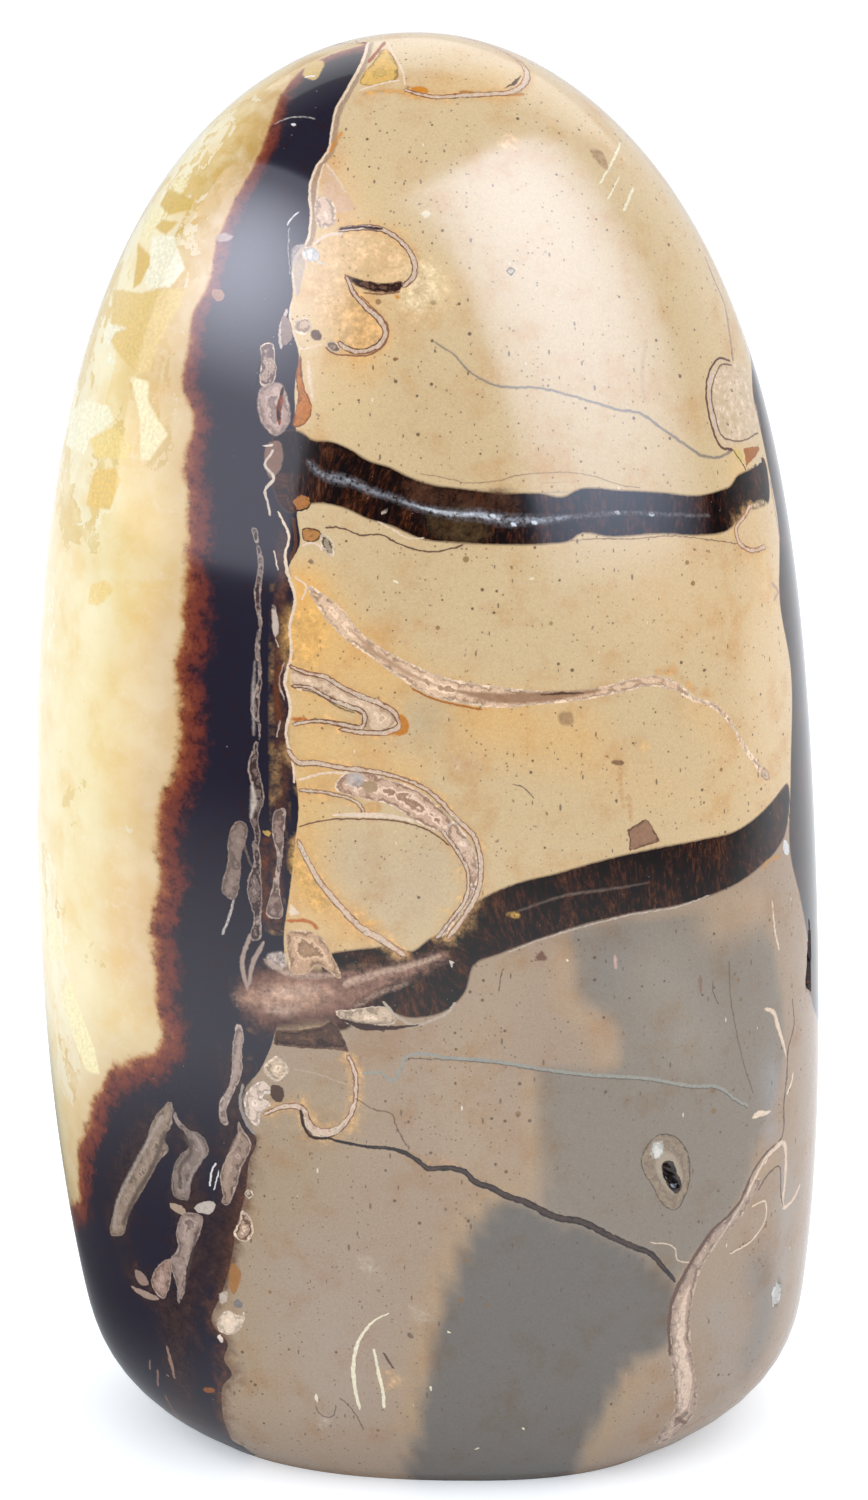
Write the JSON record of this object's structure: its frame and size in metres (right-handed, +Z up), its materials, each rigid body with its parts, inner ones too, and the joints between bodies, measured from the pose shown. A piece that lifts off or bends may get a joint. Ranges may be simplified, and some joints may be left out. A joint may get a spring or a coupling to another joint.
{
  "type": "septarian nodule",
  "caption": "Polished free-standing septarian nodule: a tall, slightly leaning egg of veined limestone with a calcite flank and a small flat foot.",
  "frame": {"origin": "middle of the bounding box, on the plane that the foot rests on", "axes": "+Z up from the foot to the crown, -Y the wide veined front, -X the calcite flank"},
  "size_m": [0.0788, 0.0546, 0.141],
  "materials": {
    "septarian_stone": "polished limestone, calcite and aragonite"
  },
  "bodies": {
    "root": {"septarian_nodule": "septarian_stone"}
  },
  "joints": []
}
